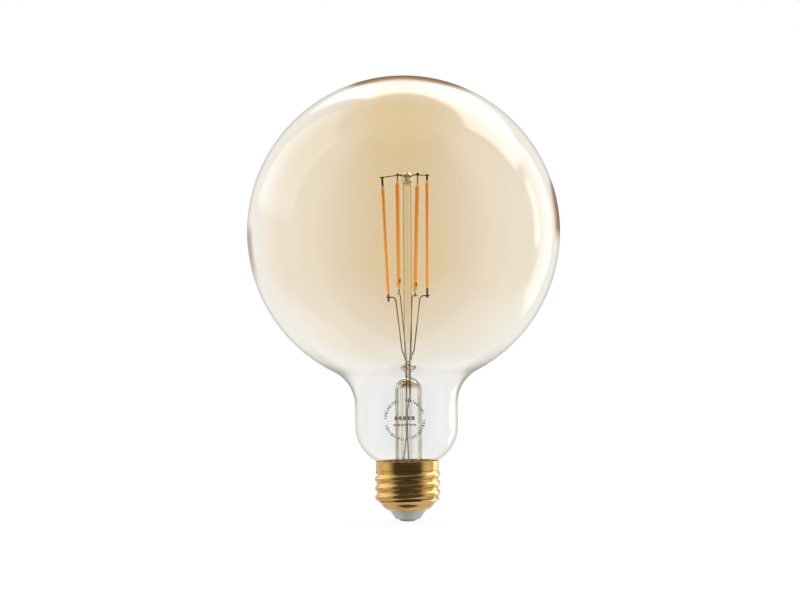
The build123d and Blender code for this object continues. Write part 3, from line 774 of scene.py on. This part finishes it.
def on_neck(across, up, lift):
    """Point on the front of the neck, wrapped from flat print coordinates."""
    height = PRINT_Z + up
    radius = neck_radius_at(height)
    angle = (PRINT_X + across) / NECK_RADIUS
    reach = radius + lift
    return Vector((reach * math.sin(angle), -reach * math.cos(angle), height)) * MM


def add_dash(form, corners):
    """Thin four-cornered slab of ink, its corners in flat print coordinates, split lengthwise."""
    start_low, start_high, end_high, end_low = [Vector(c) for c in corners]
    steps = DASH_STEPS
    layers = []
    for lift in (INK_LIFT, INK_LIFT + INK_DEPTH):
        row = []
        for step in range(steps + 1):
            share = step / steps
            low_point = start_low.lerp(end_low, share)
            high_point = start_high.lerp(end_high, share)
            low_vert = form.verts.new(on_neck(*low_point, lift))
            high_vert = form.verts.new(on_neck(*high_point, lift))
            row.append((low_vert, high_vert))
        layers.append(row)
    inner, outer = layers
    for step in range(steps):
        (a, b), (c, d) = outer[step], outer[step + 1]
        (e, f), (g, h) = inner[step], inner[step + 1]
        form.faces.new((a, b, d, c))
        form.faces.new((e, g, h, f))
        form.faces.new((a, c, g, e))
        form.faces.new((b, f, h, d))
    (a, b), (e, f) = outer[0], inner[0]
    form.faces.new((a, e, f, b))
    (a, b), (e, f) = outer[-1], inner[-1]
    form.faces.new((a, b, f, e))


def ink_material():
    """Worn brown-grey ink that lets some of the glass behind it show."""
    mat, tree = new_material("print_ink_look")
    point, _ = object_point(tree)
    grain = noise(tree, point, 1800.0, 4.0)
    tone = blend(tree, grain, srgb(104, 90, 76), srgb(140, 126, 110))
    worn = put(tree, "ShaderNodeBsdfPrincipled", {"Base Color": tone, "Roughness": 0.7})
    clear = put(tree, "ShaderNodeBsdfTransparent")
    share = calc(tree, "MULTIPLY_ADD", between(tree, grain, 0.35, 0.65), 0.25, 0.60)
    mix = put(tree, "ShaderNodeMixShader", {0: share, 1: clear.outputs[0], 2: worn.outputs[0]})
    finish(tree, mix.outputs[0])
    return mat


print_form = bmesh.new()
for tick in range(TICKS):
    if tick % TICKS_IN_GROUP > TICKS_SHOWN:
        continue
    spread = math.tau / TICKS * (0.15 + 0.08 * (tick % 3))
    middle = math.tau * (tick + 0.5) / TICKS
    inside, outside = PRINT_RADIUS - TICK_REACH, PRINT_RADIUS + TICK_REACH
    corners = []
    for radius, angle in (
        (inside, middle - spread),
        (inside, middle + spread),
        (outside, middle + spread),
        (outside, middle - spread),
    ):
        corners.append((radius * math.sin(angle), radius * math.cos(angle)))
    add_dash(print_form, corners)
for middle, half_height, half_length, count in PRINT_ROWS:
    pitch = 2 * half_length / count
    for part in range(count):
        left = -half_length + (part + BAR_MARGIN) * pitch
        right = left + pitch * BAR_SHARE
        low, high = middle - half_height, middle + half_height
        add_dash(print_form, [(left, low), (left, high), (right, high), (right, low)])
bmesh.ops.recalc_face_normals(print_form, faces=print_form.faces)
print_mesh = bpy.data.meshes.new("neck_print")
print_form.to_mesh(print_mesh)
print_form.free()
print_mesh.materials.append(ink_material())
neck_print = bpy.data.objects.new("neck_print", print_mesh)
bpy.context.scene.collection.objects.link(neck_print)
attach(neck_print, "root")


# ---------------------------------------------------------------- stage and lights

FLOOR_RADIUS = 3.5
FLOOR_GAP = 0.0001
FLOOR_GLOW = 0.92
FLOOR_GREY = (0.06, 0.06, 0.06, 1)

bpy.ops.mesh.primitive_circle_add(vertices=96, radius=FLOOR_RADIUS, fill_type="NGON")
floor = bpy.context.object
floor.name = "studio_floor"
floor.location = (0, 0, cad_box[0][2] - FLOOR_GAP)
floor_look, floor_tree = new_material("floor_look")
paper = put(floor_tree, "ShaderNodeBsdfDiffuse", {"Color": FLOOR_GREY})
glow = put(floor_tree, "ShaderNodeEmission", {"Color": WHITE, "Strength": FLOOR_GLOW})
lit_paper = put(floor_tree, "ShaderNodeAddShader", {0: paper.outputs[0], 1: glow.outputs[0]})
finish(floor_tree, lit_paper.outputs[0])
floor.data.materials.append(floor_look)
floor.visible_glossy = False

world = bpy.data.worlds.new("studio")
bpy.context.scene.world = world
world.use_nodes = True
tree = world.node_tree
tree.nodes.clear()
direction = put(tree, "ShaderNodeTexCoord").outputs["Generated"]
axes = put(tree, "ShaderNodeSeparateXYZ", {0: direction})
degrees = 180 / math.pi
around = calc(tree, "ARCTAN2", axes.outputs[0], axes.outputs[1])
turn = calc(tree, "MULTIPLY", around, degrees)
rise = calc(tree, "MULTIPLY", calc(tree, "ARCSINE", axes.outputs[2]), degrees)


def softbox(side_low, side_high, foot, top, strength, soft=3.0):
    """Bright window in the studio: between two bearings from straight behind, and two heights."""
    across = band(tree, turn, side_low, side_high, soft)
    upright = band(tree, rise, foot, top, soft)
    return calc(tree, "MULTIPLY", calc(tree, "MULTIPLY", across, upright), strength)


# each softbox: bearings in degrees, heights in degrees, and strength
SOFTBOXES = (
    (-22, 70, 27, 57, 4.5),
    (38, 60, -25, 27, 1.8),
    (61, 67, -6, 20, 4.5),
    (-90, -38, 8, 56, 1.1),
    (78, 126, -30, 60, 0.30),
    (-126, -82, -30, 60, 0.25),
)

# the room is pale behind the lamp and dark behind the camera
bearing = calc(tree, "ABSOLUTE", turn)
lights = calc(tree, "MULTIPLY_ADD", between(tree, bearing, 100.0, 130.0), -0.80, 0.90)
for box in SOFTBOXES:
    lights = calc(tree, "ADD", lights, softbox(*box))
overhead = calc(tree, "MULTIPLY", between(tree, rise, 60.0, 75.0), 0.7)
lights = calc(tree, "MAXIMUM", lights, overhead)
eye = put(tree, "ShaderNodeLightPath").outputs["Is Camera Ray"]
studio_look = put(tree, "ShaderNodeBackground", {"Color": WHITE, "Strength": lights})
plain_look = put(tree, "ShaderNodeBackground", {"Color": WHITE, "Strength": 1.0})
choice = put(
    tree, "ShaderNodeMixShader", {0: eye, 1: studio_look.outputs[0], 2: plain_look.outputs[0]}
)
put(tree, "ShaderNodeOutputWorld", {"Surface": choice.outputs[0]})

KEY_SIZE = 0.9
KEY_PLACE = (-0.7, -0.9, 1.1)
KEY_TARGET = (0, 0, 0.1)

key_data = bpy.data.lights.new("key_softbox", "AREA")
key_data.shape = "RECTANGLE"
key_data.size, key_data.size_y = KEY_SIZE, KEY_SIZE
key_data.energy = 9.0
key = bpy.data.objects.new("key_softbox", key_data)
bpy.context.scene.collection.objects.link(key)
key.location = KEY_PLACE
aim = Vector(KEY_TARGET) - key.location
key.rotation_euler = aim.to_track_quat("-Z", "Y").to_euler()
key.visible_glossy = False
key.visible_camera = False
key.visible_transmission = False


# ---------------------------------------------------------------- camera

PHOTO_WIDTH = 800
CAMERA_DISTANCE = 1.5976
CAMERA_ROLL = -0.935

camera_data = bpy.data.cameras.new("camera")
camera_data.lens = 180.0
camera_data.sensor_width = 36.0
camera_data.shift_x = -3.5 / PHOTO_WIDTH
camera_data.shift_y = -66.0 / PHOTO_WIDTH
camera_data.clip_start = 0.05
camera_data.clip_end = 20.0
camera = bpy.data.objects.new("camera", camera_data)
bpy.context.scene.collection.objects.link(camera)
roll = Matrix.Rotation(math.radians(CAMERA_ROLL), 4, "Z")
view = Matrix.Rotation(math.radians(90), 4, "X") @ roll
camera.matrix_world = Matrix.Translation((0, -CAMERA_DISTANCE, GLOBE_HEIGHT * MM)) @ view
bpy.context.scene.camera = camera

scene = bpy.context.scene
scene.view_settings.view_transform = "Standard"
scene.cycles.transparent_max_bounces = 48
scene.cycles.max_bounces = 24
scene.cycles.transmission_bounces = 24
scene.cycles.glossy_bounces = 8
